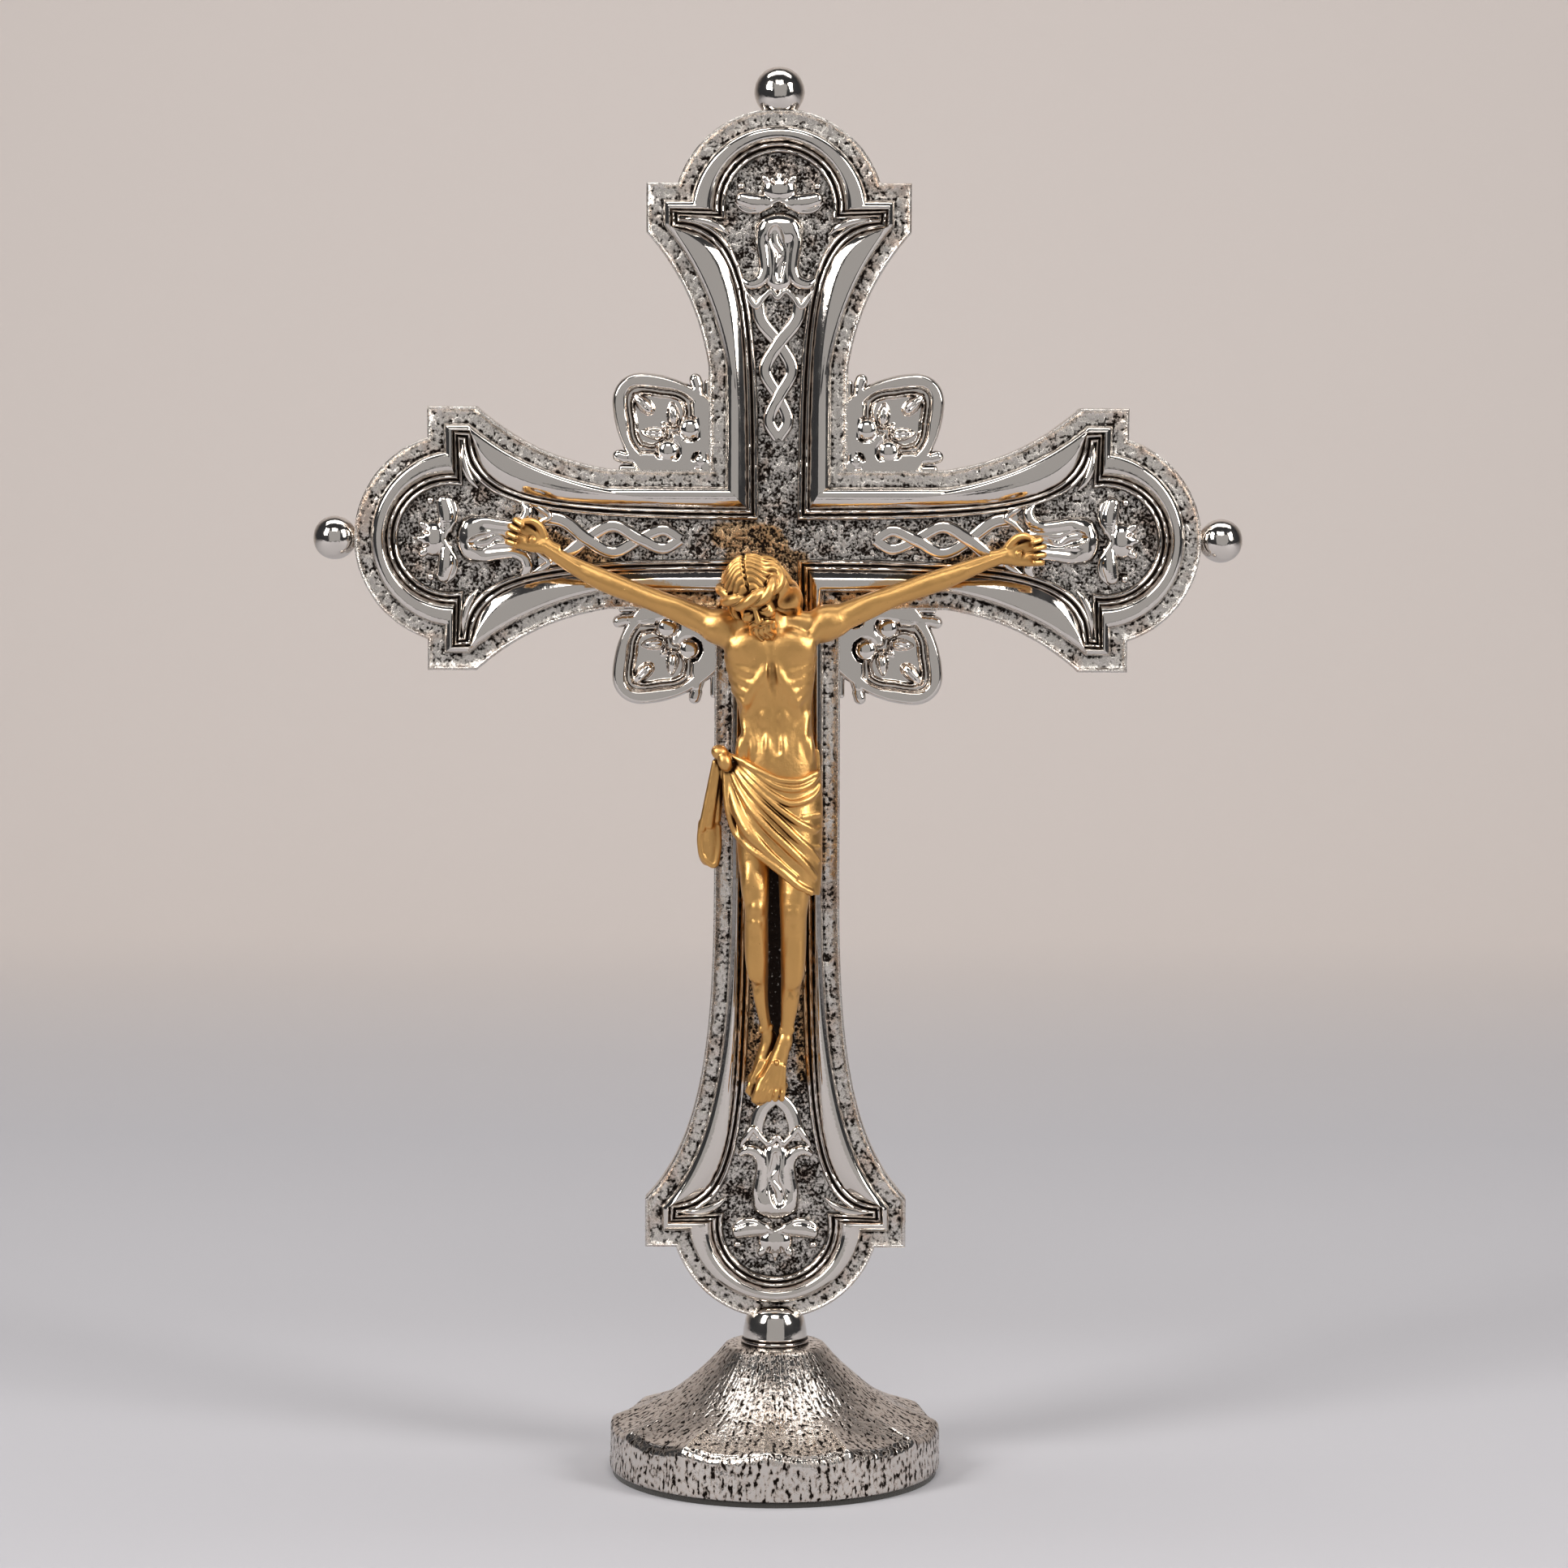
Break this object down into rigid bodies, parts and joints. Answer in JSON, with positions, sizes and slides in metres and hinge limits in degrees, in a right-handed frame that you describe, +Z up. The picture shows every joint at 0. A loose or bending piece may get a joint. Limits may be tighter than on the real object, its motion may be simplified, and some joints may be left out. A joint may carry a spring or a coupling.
{
  "type": "standing crucifix",
  "caption": "Small standing altar crucifix: cast cross with budded ends, relief flowers and corner leaves, ball finials, a gilded corpus, a knop and a round scooped foot.",
  "frame": {"origin": "middle of the underside of the felt, where the foot rests", "axes": "+Z up, the front of the cross faces -Y, +X to the viewer's right"},
  "size_m": [0.1708, 0.0616, 0.2601],
  "materials": {
    "silvered_cross": "silver-plated and oxidised casting, polished moulding, rough dark ground",
    "silvered_balls": "silver-plated, polished",
    "silvered_relief": "silver-plated, polished, dark in the recesses",
    "silvered_leaves": "silver-plated, polished rims, dark in the recesses",
    "gilded_corpus": "antique gilt, satin, brown in the recesses",
    "pin_metal": "plain, dulled",
    "silvered_foot": "silver-plated casting, streaked and pitted, satin",
    "silvered_knop": "silver-plated, polished",
    "felt": "wool felt",
    "steel": "plain steel"
  },
  "bodies": {
    "root": {"cross_body": "silvered_cross", "ball_finial_top": "silvered_balls", "ball_finial_left": "silvered_balls", "ball_finial_right": "silvered_balls", "lily_spray_top": "silvered_relief", "lily_spray_left": "silvered_relief", "lily_spray_right": "silvered_relief", "lily_spray_bottom": "silvered_relief", "corner_leaf_upper_right": "silvered_leaves", "corner_leaf_upper_left": "silvered_leaves", "corner_leaf_lower_right": "silvered_leaves", "corner_leaf_lower_left": "silvered_leaves", "corpus": "gilded_corpus", "fixing_pins": "pin_metal", "foot": "silvered_foot", "knop": "silvered_knop", "felt_pad": "felt", "tie_rod": "steel", "tie_washer": "steel", "tie_nut": "steel"}
  },
  "joints": []
}
